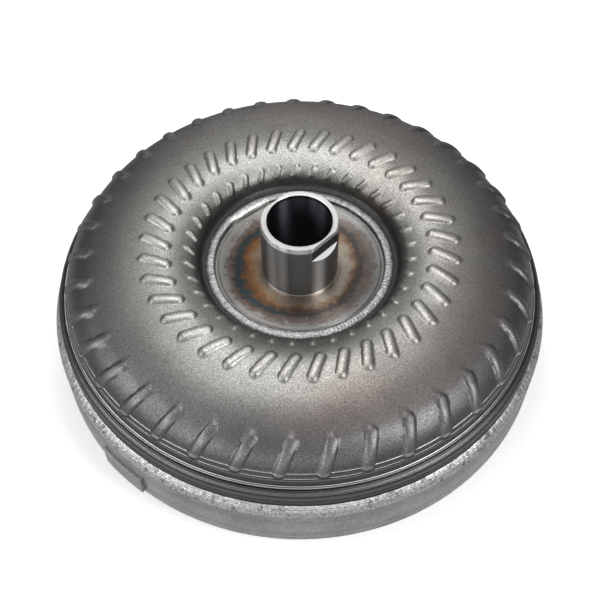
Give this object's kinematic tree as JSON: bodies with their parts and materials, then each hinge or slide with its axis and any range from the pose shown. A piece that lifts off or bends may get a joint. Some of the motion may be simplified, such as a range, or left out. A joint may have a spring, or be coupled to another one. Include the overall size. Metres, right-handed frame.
{
  "type": "torque converter",
  "caption": "Welded round torque converter: ribbed impeller shell with a bored hub, front cover with drive lugs, and turbine, stator, freewheel, lock-up clutch and needle bearings inside.",
  "frame": {"origin": "on the rotation axis, in the plane of the drive-lug faces", "axes": "+Z along the rotation axis, from the engine to the gearbox; +X through the first drive lug"},
  "size_m": [0.2652, 0.2652, 0.101],
  "materials": {
    "shell_steel": "pressed sheet, blasted, oiled",
    "cover_steel": "pressed sheet, turned outside",
    "hub_steel": "hardened and ground",
    "weld_metal": "as welded",
    "plate_steel": "sheared plate",
    "blade_steel": "pressed sheet, brazed",
    "race_steel": "ground and polished",
    "spring_steel": "oil tempered wire",
    "cast_aluminium": "die cast",
    "cage_brass": "pressed",
    "lining": "paper friction lining",
    "seal": "filled PTFE"
  },
  "bodies": {
    "housing": {"front_cover": "cover_steel", "pilot_boss": "plate_steel", "pilot_weld": "weld_metal", "drive_lugs": "plate_steel", "lug_welds": "weld_metal", "balance_weight": "plate_steel", "rim_weld": "weld_metal", "impeller_shell": "shell_steel", "impeller_blades": "blade_steel", "impeller_core_ring": "blade_steel", "impeller_hub": "hub_steel", "hub_weld": "weld_metal", "cover_bearing_lower_race": "race_steel", "impeller_bearing_upper_race": "race_steel"},
    "turbine": {"turbine_shell": "blade_steel", "turbine_blades": "blade_steel", "turbine_core_ring": "blade_steel", "turbine_hub": "hub_steel", "turbine_rivets": "plate_steel", "damper_driven_ring": "plate_steel", "piston_seal_ring": "seal", "cover_bearing_upper_race": "race_steel", "turbine_bearing_lower_race": "race_steel"},
    "damper": {"spring_retainer": "plate_steel", "damper_springs": "spring_steel", "damper_inner_springs": "spring_steel"},
    "lockup_piston": {"piston_plate": "plate_steel", "friction_lining": "lining"},
    "stator": {"stator_wheel": "cast_aluminium", "stator_front_cap": "cast_aluminium", "stator_rear_cap": "cast_aluminium", "stator_snap_ring": "spring_steel", "freewheel_outer_race": "race_steel", "freewheel_rollers": "race_steel", "freewheel_springs": "spring_steel", "turbine_bearing_upper_race": "race_steel", "impeller_bearing_lower_race": "race_steel"},
    "freewheel_inner": {"freewheel_inner_race": "race_steel"},
    "cover_needle_cage": {"cover_bearing_cage": "cage_brass", "cover_bearing_needles": "race_steel"},
    "turbine_needle_cage": {"turbine_bearing_cage": "cage_brass", "turbine_bearing_needles": "race_steel"},
    "impeller_needle_cage": {"impeller_bearing_cage": "cage_brass", "impeller_bearing_needles": "race_steel"}
  },
  "joints": [
    {"name": "turbine_spin", "type": "hinge", "parent": "housing", "child": "turbine", "pos_m": [0, 0, 0.03], "axis": [0, 0, 1], "continuous": true},
    {"name": "damper_twist", "type": "hinge", "parent": "turbine", "child": "damper", "pos_m": [0, 0, 0.027], "axis": [0, 0, 1], "range_deg": [-8, 8], "stiffness_Nm_per_rad": 600, "deforming": ["damper_springs", "damper_inner_springs"]},
    {"name": "piston_slide", "type": "slide", "parent": "damper", "child": "lockup_piston", "axis": [0, 0, -1], "range_m": [0, 0.00095]},
    {"name": "stator_spin", "type": "hinge", "parent": "housing", "child": "stator", "pos_m": [0, 0, 0.053], "axis": [0, 0, 1], "continuous": true},
    {"name": "freewheel_slip", "type": "hinge", "parent": "stator", "child": "freewheel_inner", "pos_m": [0, 0, 0.0483], "axis": [0, 0, 1], "range_deg": [-360, 0]},
    {"name": "cover_bearing_roll", "type": "hinge", "parent": "housing", "child": "cover_needle_cage", "pos_m": [0, 0, 0.0152], "axis": [0, 0, 1], "continuous": true},
    {"name": "turbine_bearing_roll", "type": "hinge", "parent": "stator", "child": "turbine_needle_cage", "pos_m": [0, 0, 0.0392], "axis": [0, 0, 1], "continuous": true},
    {"name": "impeller_bearing_roll", "type": "hinge", "parent": "housing", "child": "impeller_needle_cage", "pos_m": [0, 0, 0.0574], "axis": [0, 0, 1], "continuous": true}
  ],
  "couplings": [
    {"joint": "cover_bearing_roll", "follows": "turbine_spin", "ratio": 0.5},
    {"joint": "turbine_bearing_roll", "follows": "turbine_spin", "ratio": 0.5},
    {"joint": "impeller_bearing_roll", "follows": "stator_spin", "ratio": 0.5}
  ]
}
